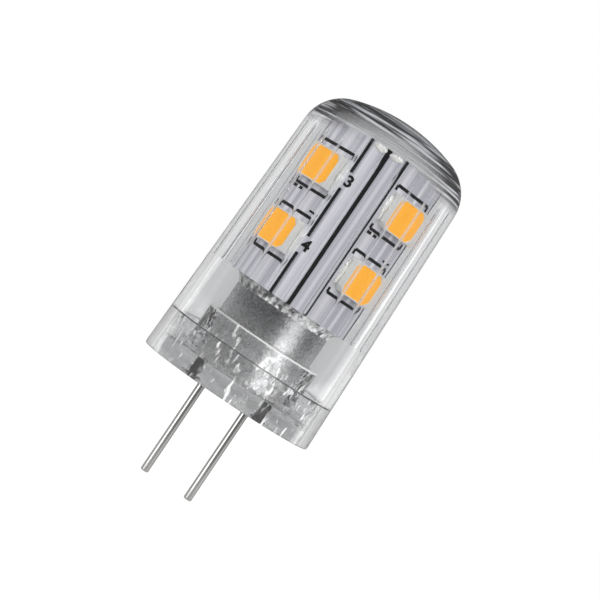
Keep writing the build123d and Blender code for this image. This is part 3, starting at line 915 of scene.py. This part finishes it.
class BuildCover(bpy.types.Operator):
    """Spin the clear cover and press its inner ribs"""

    bl_idname = "bulb.cover"
    bl_label = "Build cover"

    def execute(self, context):
        sizes = context.scene.bulb_cover
        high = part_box("cover")[1]
        radius, height = high.x, high.z
        centre = height - sizes.crown_radius
        slope = math.tan(sizes.draft)
        counterbore = radius - sizes.rim_wall
        bore = radius - sizes.ledge_height * slope - sizes.bore_wall
        valley = radius - sizes.rib_start * slope - sizes.ribbed_wall
        outer = dome_curve(
            (radius, 0),
            sizes.draft,
            sizes.shoulder_radius,
            sizes.crown_radius,
            centre,
            DOME_STEPS,
        )
        inner = dome_curve(
            (valley, sizes.rib_start),
            sizes.inner_draft,
            sizes.inner_shoulder,
            sizes.crown_radius - sizes.crown_wall,
            centre,
            INNER_DOME_STEPS,
        )
        rib_top = inner[0][1]
        foot_shares = [step / RIB_FOOT_STEPS for step in range(1, RIB_FOOT_STEPS + 1)]
        run_shares = [step / RIB_RUN_STEPS for step in range(RIB_RUN_STEPS, 0, -1)]
        foot_rows = [sizes.rib_start + sizes.rib_height * share for share in foot_shares]
        run_rows = [rib_top - sizes.rib_run_out * share for share in run_shares]
        wall = [(self.wall_radius(valley, sizes, row), row) for row in foot_rows + run_rows]
        rim = round_corners(
            [
                (bore, sizes.ledge_height + sizes.edge),
                (bore, sizes.ledge_height),
                (counterbore, sizes.ledge_height),
                (counterbore, 0),
                (radius, 0),
                (radius - sizes.edge * slope * 2, sizes.edge * 2),
            ],
            sizes.edge / 2,
        )
        step = [(bore, sizes.rib_start), (valley, sizes.rib_start)]
        outline = list(reversed(outer)) + list(reversed(rim)) + step + wall + inner
        columns = sizes.rib_count * sizes.columns_per_rib
        piece = spin_outline("clear_cover", outline, columns)
        self.press_ribs(piece, sizes, valley, rib_top)
        self.mark_skin(piece, outer + rim[-1:])
        smooth(piece, degrees=50)
        place(piece, "cover")
        return {"FINISHED"}

    @staticmethod
    def wall_radius(valley, sizes, height):
        """Radius of the wall between the ribs."""
        return valley - (height - sizes.rib_start) * math.tan(sizes.inner_draft)

    def press_ribs(self, piece, sizes, valley, rib_top):
        """Moves the wall in at the ribs and marks their flanks, which steer the painted highlight
        and painted shade on them.
        """
        pitch = FULL_TURN / sizes.rib_count
        painted_share = piece.data.attributes.new("rib_flank", "FLOAT", "POINT")
        for vertex in piece.data.vertices:
            x, y, z = vertex.co
            across = math.hypot(x, y)
            wall = self.wall_radius(valley, sizes, z)
            if not sizes.rib_start < z < rib_top or abs(across - wall) > MERGE:
                continue
            turn = math.atan2(y, x) - sizes.rib_turn
            aside = abs((turn + pitch / 2) % pitch - pitch / 2) * across
            share = 0.5 + 0.5 * math.cos(math.pi * min(2 * aside / sizes.rib_foot, 1))
            rise = min((z - sizes.rib_start) / sizes.rib_height, 1)
            sink = min((rib_top - z) / sizes.rib_run_out, 1)
            stand = sizes.rib_height * share * min(rise, sink)
            vertex.co.x *= (across - stand) / across
            vertex.co.y *= (across - stand) / across
            painted_share.data[vertex.index].value = share * min(rise, sink)

    def mark_skin(self, piece, outer):
        """Marks the vertices of the outer surface, for the painted veil and painted dark rim on it.
        """
        skin = piece.data.attributes.new("outer_skin", "FLOAT", "POINT")
        for vertex in piece.data.vertices:
            across = math.hypot(vertex.co.x, vertex.co.y)
            for radius, height in outer:
                if abs(vertex.co.z - height) < MERGE and abs(across - radius) < MERGE:
                    skin.data[vertex.index].value = 1


class BuildBase(bpy.types.Operator):
    """Spin the clear base and drill it for the pins"""

    bl_idname = "bulb.base"
    bl_label = "Build base"

    def execute(self, context):
        sizes = context.scene.bulb_base
        pins = context.scene.bulb_pins
        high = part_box("base")[1]
        skirt_top = context.scene.bulb_cover.ledge_height - sizes.skirt_gap
        skirt = high.x - sizes.skirt_wall
        collar_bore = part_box("heat_tube")[1].x + sizes.collar_gap
        collar = collar_bore + sizes.collar_wall
        outline = round_corners(
            [
                (0, 0),
                (high.x, 0),
                (high.x, skirt_top),
                (skirt, skirt_top),
                (skirt, sizes.floor),
                (collar, sizes.floor),
                (collar, high.z),
                (collar_bore, high.z),
                (collar_bore, sizes.floor),
                (0, sizes.floor),
            ],
            sizes.edge,
        )
        piece = spin_outline("clear_base", outline, BASE_COLUMNS)
        for node in ("contact_pin_left", "contact_pin_right"):
            self.drill(piece, node, pins, sizes)
        smooth(piece, degrees=50)
        place(piece, "base")
        dress(piece, "base_plastic")
        return {"FINISHED"}

    def drill(self, piece, node, pins, sizes):
        """Cuts the stepped hole of one contact pin."""
        gap = sizes.hole_gap
        outline = [
            (0, -gap - sizes.floor),
            (pins.collar + gap, -gap - sizes.floor),
            (pins.collar + gap, pins.collar_height + gap),
            (pins.radius + gap, pins.collar_height + gap),
            (pins.radius + gap, 2 * sizes.floor),
            (0, 2 * sizes.floor),
        ]
        cutter = spin_outline("drill", outline, PIN_COLUMNS)
        cutter.data.transform(to_pin(node))
        select_only(piece)
        cut = piece.modifiers.new("Drill", "BOOLEAN")
        cut.object = cutter
        cut.operation = "DIFFERENCE"
        bpy.ops.object.modifier_apply(modifier=cut.name)
        bpy.data.objects.remove(cutter)


class BuildPins(bpy.types.Operator):
    """Spin the two contact pins with rounded tips"""

    bl_idname = "bulb.pins"
    bl_label = "Build contact pins"

    def execute(self, context):
        sizes = context.scene.bulb_pins
        for side in ("left", "right"):
            node = f"contact_pin_{side}"
            low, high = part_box(node)
            tip = round_corners(
                [(0, low.z), (sizes.radius, low.z), (sizes.radius, 0)], sizes.tip, steps=6
            )
            rest = [
                (sizes.collar, 0),
                (sizes.collar, sizes.collar_height),
                (sizes.radius, sizes.collar_height),
                (sizes.radius, high.z),
                (0, high.z),
            ]
            piece = spin_outline(f"pin_wire_{side}", tip + rest, PIN_COLUMNS)
            piece.data.transform(to_pin(node))
            smooth(piece)
            place(piece, node)
        return {"FINISHED"}


class BuildTube(bpy.types.Operator):
    """Spin the satin tube and lay the adhesive round it"""

    bl_idname = "bulb.tube"
    bl_label = "Build tube and adhesive"

    def execute(self, context):
        sizes = context.scene.bulb_tube
        low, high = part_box("heat_tube")
        bore = high.x - sizes.wall
        seam = (bore, middle_height("heat_tube"))
        ends = [(bore, low.z), (high.x, low.z), (high.x, high.z), (bore, high.z)]
        outline = round_corners([seam, *ends, seam], sizes.lip)
        piece = spin_outline("satin_tube", outline, TUBE_COLUMNS)
        smooth(piece)
        place(piece, "heat_tube")
        self.lay_bead(high.x)
        return {"FINISHED"}

    def lay_bead(self, tube_radius):
        """Spins the adhesive's hollow bead and makes its face uneven."""
        low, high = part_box("adhesive_bead")
        reach = high.x - tube_radius
        drop = high.z - low.z
        face = [
            (tube_radius + reach * (1 - share) ** BEAD_HOLLOW, high.z - drop * share)
            for share in [step / BEAD_STEPS for step in range(BEAD_STEPS + 1)]
        ]
        outline = [(tube_radius, high.z)] + face + [(tube_radius, high.z)]
        piece = spin_outline("adhesive_ring", outline, BEAD_COLUMNS)
        for vertex in piece.data.vertices:
            x, y, z = vertex.co
            out = math.hypot(x, y) - tube_radius
            if out < MERGE:
                continue
            wave = noise.noise(Vector((x, y, z)) / MM * BEAD_WAVES)
            scale = (tube_radius + out * (1 + BEAD_SWELL * wave)) / (tube_radius + out)
            vertex.co.x *= scale
            vertex.co.y *= scale
        smooth(piece, degrees=60)
        place(piece, "adhesive_bead")


class BuildBoard(bpy.types.Operator):
    """Print the marks and digits on the folded LED board, with dark lines in its folds and painted
    shade over its seam
    """

    bl_idname = "bulb.board"
    bl_label = "Build LED board print"

    def execute(self, context):
        sizes = context.scene.bulb_board
        dress(frame["nodes"]["led_board"], slot_of("led_board"))
        heights = [middle_height(f"led_{number}_housing") for number in (1, 2)]
        low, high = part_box("led_board")
        strip_distance = high.x
        half_strip = math.sqrt(2) * sizes.panel_distance - strip_distance
        marks = []
        for panel, turn in enumerate(PANEL_TURNS):
            faces = [seat(turn, sizes.panel_distance + sizes.ink_lift, row) for row in heights]
            for row, height in enumerate(heights):
                marks += self.brackets(sizes, faces[row])
                beside = seat(turn + math.pi / 4, strip_distance + sizes.ink_lift, height)
                digit = str(2 * panel + row + 1)
                marks.append(self.digit(sizes, beside, digit, -half_strip))
            marks += self.polarity(sizes, *faces)
            marks += self.fold_lines(sizes, turn, heights)
        # Painted shade: a dark bar over the seam's gap
        seam = seat(SEAM_TURN, strip_distance + sizes.ink_lift, middle_height("led_board"))
        marks.append(self.bar(seam, (0, 0), (sizes.seam_shade_width, high.z - low.z)))
        piece = join_pieces(marks, "board_print")
        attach(piece, "root")
        dress(piece, "black_ink")
        return {"FINISHED"}

    def bar(self, here, middle, size):
        """One printed bar on a board face."""
        bpy.ops.object.select_all(action="DESELECT")
        bpy.ops.mesh.primitive_plane_add(size=1)
        mark = bpy.context.object
        spread = Matrix.Translation((*middle, 0)) @ Matrix.Diagonal((*size, 1, 1))
        mark.data.transform(here @ spread)
        return mark

    def fold_lines(self, sizes, turn, heights):
        """The dark lines in a panel's two folds, one of them broken beside the digits."""
        low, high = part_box("led_board")
        strip = high.x
        half = math.sqrt(2) * sizes.panel_distance - strip
        distance = math.hypot(strip, half) - sizes.fold_sink
        swing = math.pi / 4 - math.atan2(half, strip)
        ends = sorted(
            [low.z, high.z]
            + [height + way * sizes.fold_break / 2 for height in heights for way in (-1, 1)]
        )
        whole = seat(turn - swing, distance, middle_height("led_board"))
        marks = [self.bar(whole, (0, 0), (sizes.fold_line, high.z - low.z))]
        for start, end in zip(ends[0::2], ends[1::2]):
            here = seat(turn + swing, distance, (start + end) / 2)
            marks.append(self.bar(here, (0, 0), (sizes.fold_line, end - start)))
        return marks

    def brackets(self, sizes, here):
        """The two marks with turned ends, above and below an LED."""
        half = sizes.bracket_width / 2
        marks = []
        for way in (-1, 1):
            edge = way * sizes.bracket_reach
            marks.append(self.bar(here, (0, edge), (sizes.bracket_width, sizes.line)))
            for side in (-1, 1):
                middle = (side * half, edge - way * sizes.bracket_tick / 2)
                marks.append(self.bar(here, middle, (sizes.line, sizes.bracket_tick)))
        return marks

    def polarity(self, sizes, upper, lower):
        """The two dashes below a panel's upper LED and the minus sign above the lower one."""
        below = -sizes.bracket_reach - sizes.dash_drop
        above = sizes.bracket_reach + sizes.minus_rise
        return [
            self.bar(upper, (-sizes.outer_dash, below), (sizes.outer_dash_width, sizes.line)),
            self.bar(upper, (-sizes.inner_dash, below), (sizes.inner_dash_width, sizes.line)),
            self.bar(lower, (sizes.minus_aside, above), (sizes.minus_width, sizes.minus_line)),
        ]

    def digit(self, sizes, here, text, fold):
        """An LED's number, printed beside the fold."""
        bpy.ops.object.select_all(action="DESELECT")
        bpy.ops.object.text_add()
        mark = bpy.context.object
        mark.data.body = text
        mark.data.align_x = "CENTER"
        mark.data.align_y = "CENTER"
        mark.data.offset = DIGIT_WEIGHT
        bpy.ops.object.convert(target="MESH")
        mark = bpy.context.object
        scale = sizes.digit_height / mark.dimensions.y
        middle = Matrix.Translation((fold + sizes.digit_aside, 0, 0))
        mark.data.transform(here @ middle @ Matrix.Scale(scale, 4))
        return mark


class BuildLeds(bpy.types.Operator):
    """Round over the LEDs' cups and terminals and add their solder"""

    bl_idname = "bulb.leds"
    bl_label = "Build LEDs"

    def execute(self, context):
        edges = context.scene.bulb_edges
        for number in LED_NUMBERS:
            soften(f"led_{number}_housing", edges.housings)
            dress(frame["nodes"][f"led_{number}_phosphor"], "phosphor")
            soften(f"led_{number}_terminals", edges.terminals)
        self.solder(context.scene.bulb_board)
        return {"FINISHED"}

    def solder(self, sizes):
        """A lump at each end of each LED, and two joints at the top of the seam strip."""
        lumps = []
        for number in LED_NUMBERS:
            low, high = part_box(f"led_{number}_terminals")
            turn = PANEL_TURNS[(number - 1) // 2]
            here = seat(turn, sizes.panel_distance, (low.z + high.z) / 2)
            spread = (sizes.solder_width, (high.z - low.z) / 2, sizes.solder_height)
            push = Vector((sizes.solder_uneven, 0, 0))
            for way in (-1, 1):
                aside = way * sizes.solder_reach
                seed = (number, way, 0)
                lumps.append(self.lump(here, aside, spread, push, SOLDER_WAVES, seed))
        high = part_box("led_board")[1]
        here = seat(SEAM_TURN, high.x, high.z - sizes.joint_drop)
        spread = (sizes.joint_width, sizes.joint_drop, sizes.joint_height)
        push = Vector((0, sizes.joint_uneven, 0))
        for way in (-1, 1):
            aside = way * sizes.joint_aside
            seed = (way, 3, 0)
            lumps.append(self.lump(here, aside, spread, push, JOINT_WAVES, seed))
        piece = join_pieces(lumps, "led_solder")
        smooth(piece, degrees=180)
        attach(piece, "root")
        dress(piece, "terminal_tin")

    def lump(self, here, aside, spread, push, waves, seed):
        """One lump of solder on a board face, made uneven by noise."""
        bpy.ops.object.select_all(action="DESELECT")
        bpy.ops.mesh.primitive_uv_sphere_add(segments=32, ring_count=16, radius=1)
        lump = bpy.context.object
        lump.data.transform(Matrix.Translation((aside, 0, 0)) @ Matrix.Diagonal((*spread, 1)))
        for vertex in lump.data.vertices:
            wave = noise.noise(vertex.co / MM * waves + Vector(seed))
            vertex.co += push * wave
            vertex.co.z *= 1 + LUMP_SWELL * wave
        lump.data.transform(here)
        return lump


class BuildDriver(bpy.types.Operator):
    """Round over and dress the driver's parts inside the tube"""

    bl_idname = "bulb.driver"
    bl_label = "Build driver"

    def execute(self, context):
        edges = context.scene.bulb_edges
        for node in ("bridge_rectifier", "driver_chip", "smoothing_capacitor"):
            soften(node, edges.mouldings)
        for node in ("sense_resistor", "input_capacitor", "output_capacitor", "chip_end_caps"):
            soften(node, edges.chips)
        for node in ("driver_board", "bridge_leads", "driver_chip_leads", "capacitor_terminals"):
            dress(frame["nodes"][node], slot_of(node))
        for node in ("inductor_core", "inductor_winding", "led_strap_plus", "led_strap_minus"):
            dress(frame["nodes"][node], slot_of(node))
        return {"FINISHED"}


# Stage


# Turn and lift are degrees, distance and size metres, and power is watts. A lamp lights the pieces
# that it names, or all of them where it names none.
Lamp = namedtuple("Lamp", "name turn lift distance width height power lit")
LAMPS = (
    Lamp("key", 45, 6, 0.4, 0.4, 0.4, 0.95, ()),
    Lamp("fill", -45, 6, 0.4, 0.4, 0.4, 0.95, ()),
    Lamp("top", 0, 70, 0.4, 0.3, 0.3, 0.12, ()),
    Lamp("back", 170, 20, 0.45, 0.35, 0.35, 0.9, ()),
    Lamp("edge_left", -125, 0, 0.4, 0.08, 0.3, 0.065, ("clear_cover",)),
    Lamp("edge_right", 122, 0, 0.4, 0.12, 0.3, 0.09, ("clear_cover",)),
    Lamp("tube", 43, -4, 0.2, 0.06, 0.06, 0.26, ("satin_tube", "adhesive_ring", "clear_base")),
    Lamp("solder", 15, 30, 0.2, 0.04, 0.04, 0.2, ("led_solder", "adhesive_ring")),
    Lamp("pins_left", -40, -12, 0.12, 0.08, 0.08, 0.055, ("pin_wire_left", "pin_wire_right")),
    Lamp("pins_right", 64, -12, 0.12, 0.08, 0.08, 0.008, ("pin_wire_left", "pin_wire_right")),
)


def studio_nodes(tree, way):
    """Brightness of the mirrored studio in a direction, dim in front and pale at the back."""
    unit = add_node(tree, "ShaderNodeVectorMath", operation="NORMALIZE")
    split = add_node(tree, "ShaderNodeSeparateXYZ")
    fall = add_node(tree, "ShaderNodeValToRGB")
    fall.color_ramp.interpolation = "EASE"
    positions, levels = zip(*STUDIO_STOPS)
    for position in positions[1:-1]:
        fall.color_ramp.elements.new(position)
    for stop, level in zip(fall.color_ramp.elements, levels):
        stop.color = (level, level, level, 1)
    tree.links.new(way, unit.inputs[0])
    tree.links.new(unit.outputs[0], split.inputs[0])
    tree.links.new(remap(tree, split.outputs["Y"], low=-1, high=1), fall.inputs[0])
    return fall.outputs[0]


def studio_level(tree, rays, way, backdrop):
    """Brightness of the studio seen in metal and through glass, 0 for other rays."""
    group = shared_group("Mirrored studio", {"Way": "Vector"}, studio_nodes)
    seen = add_node(tree, "ShaderNodeMix", data_type="FLOAT")
    mirrored = math_node(tree, "MINIMUM", rays["Glossy Depth"], 1.0)
    feed(tree, seen.inputs["Factor"], mirrored)
    feed(tree, seen.inputs["A"], backdrop)
    feed(tree, seen.inputs["B"], place_group(tree, group, Way=way))
    looks = math_node(tree, "MAXIMUM", rays["Is Glossy Ray"], rays["Is Transmission Ray"])
    return math_node(tree, "MULTIPLY", looks, seen.outputs["Result"])


class BuildStage(bpy.types.Operator):
    """Set up the floor, the light and the camera at the photograph's angle"""

    bl_idname = "bulb.stage"
    bl_label = "Build stage"

    def execute(self, context):
        settings = context.scene.bulb_stage
        self.lay_floor(settings)
        self.light_world(context, settings)
        self.hang_lights(settings)
        self.set_camera(context, settings)
        context.scene.view_settings.view_transform = "Standard"
        return {"FINISHED"}

    def lay_floor(self, settings):
        """Pale paper that looks white to the camera and keeps the bulb's shadow."""
        bpy.ops.object.select_all(action="DESELECT")
        bpy.ops.mesh.primitive_plane_add(
            size=settings.floor_size, location=(0, 0, -settings.floor_drop)
        )
        floor = bpy.context.object
        floor.name = "floor"
        material, tree, shader = new_material("floor_paper", colours().paper, roughness=0.9)
        shader.inputs["Specular IOR Level"].default_value = 0.0
        shader.inputs["Emission Strength"].default_value = 1.0
        rays = add_node(tree, "ShaderNodeLightPath").outputs
        spot = add_node(tree, "ShaderNodeNewGeometry")
        way = add_node(tree, "ShaderNodeVectorMath", operation="ADD")
        tree.links.new(spot.outputs["Position"], way.inputs[0])
        way.inputs[1].default_value = (0, settings.floor_dusk, 0)
        room = studio_level(tree, rays, way.outputs[0], settings.backdrop)
        glow = math_node(tree, "SUBTRACT", room, settings.floor_loss)
        glow = math_node(tree, "MAXIMUM", glow, 0.0)
        white = math_node(tree, "MULTIPLY", rays["Is Camera Ray"], settings.floor_white)
        level = math_node(tree, "ADD", glow, white)
        tree.links.new(level, shader.inputs["Emission Color"])
        floor.data.materials.append(material)

    def light_world(self, context, settings):
        """A room that is white to the camera, with even light and a mirrored studio."""
        world = bpy.data.worlds.new("studio")
        context.scene.world = world
        world.use_nodes = True
        tree = world.node_tree
        room = tree.nodes["Background"]
        room.inputs["Strength"].default_value = 1.0
        rays = add_node(tree, "ShaderNodeLightPath").outputs
        spot = add_node(tree, "ShaderNodeTexCoord")
        seen = studio_level(tree, rays, spot.outputs["Generated"], settings.backdrop)
        soft = math_node(tree, "MULTIPLY", rays["Is Diffuse Ray"], settings.ambient)
        level = math_node(tree, "MAXIMUM", seen, soft, rays["Is Camera Ray"])
        tree.links.new(level, room.inputs["Color"])

    def hang_lights(self, settings):
        """The lamps, each turned towards the bulb."""
        target = Vector((0, 0, settings.aim_height))
        for lamp in LAMPS:
            bpy.ops.object.light_add(type="AREA")
            light = bpy.context.object
            light.name = f"light_{lamp.name}"
            light.data.shape = "RECTANGLE"
            light.data.size = lamp.width
            light.data.size_y = lamp.height
            light.data.energy = lamp.power
            light.visible_glossy = light.visible_transmission = bool(lamp.lit)
            if lamp.lit:
                group = bpy.data.collections.new(f"lit_{lamp.name}")
                for piece in lamp.lit:
                    group.objects.link(bpy.data.objects[piece])
                light.light_linking.receiver_collection = group
            turn, lift = math.radians(lamp.turn), math.radians(lamp.lift)
            level = math.cos(lift)
            way = Vector((math.sin(turn) * level, -math.cos(turn) * level, math.sin(lift)))
            light.location = target + way * lamp.distance
            light.rotation_euler = way.to_track_quat("Z", "Y").to_euler()

    def set_camera(self, context, settings):
        """The camera looks along +Y and is rolled, so that the bulb leans in the picture."""
        bpy.ops.object.camera_add()
        camera = bpy.context.object
        cos, sin = math.cos(settings.roll), math.sin(settings.roll)
        axes = Matrix(((cos, -sin, 0), (0, 0, -1), (sin, cos, 0))).to_4x4()
        axes.translation = (
            settings.camera_side,
            -settings.camera_distance,
            settings.camera_height,
        )
        camera.matrix_world = axes
        camera.data.lens = settings.lens
        camera.data.sensor_width = 36
        camera.data.clip_start = 0.01
        camera.data.clip_end = 10
        context.scene.camera = camera


class BulbPanel(bpy.types.Panel):
    """Sizes and build steps of the bulb"""

    bl_idname = "VIEW3D_PT_bulb"
    bl_label = "Bi-pin LED bulb"
    bl_space_type = "VIEW_3D"
    bl_region_type = "UI"
    bl_category = "Bulb"

    def draw(self, context):
        for operator in OPERATORS:
            self.layout.operator(operator.bl_idname)
        for name in GROUPS:
            box = self.layout.box()
            group = getattr(context.scene, name)
            for key in group.bl_rna.properties.keys():
                if key not in ("rna_type", "name"):
                    box.prop(group, key)


OPERATORS = (
    BuildCover,
    BuildBase,
    BuildPins,
    BuildTube,
    BuildBoard,
    BuildLeds,
    BuildDriver,
    BuildStage,
)


def register():
    for name, group in GROUPS.items():
        bpy.utils.register_class(group)
        setattr(bpy.types.Scene, name, bpy.props.PointerProperty(type=group))
    for item in (*OPERATORS, BulbPanel):
        bpy.utils.register_class(item)


def unregister():
    for item in (BulbPanel, *reversed(OPERATORS)):
        bpy.utils.unregister_class(item)
    for name, group in reversed(GROUPS.items()):
        delattr(bpy.types.Scene, name)
        bpy.utils.unregister_class(group)


def main():
    register()
    bpy.ops.bulb.cover()
    bpy.ops.bulb.base()
    bpy.ops.bulb.pins()
    bpy.ops.bulb.tube()
    bpy.ops.bulb.board()
    bpy.ops.bulb.leds()
    bpy.ops.bulb.driver()
    bpy.ops.bulb.stage()


if __name__ == "__main__":
    main()
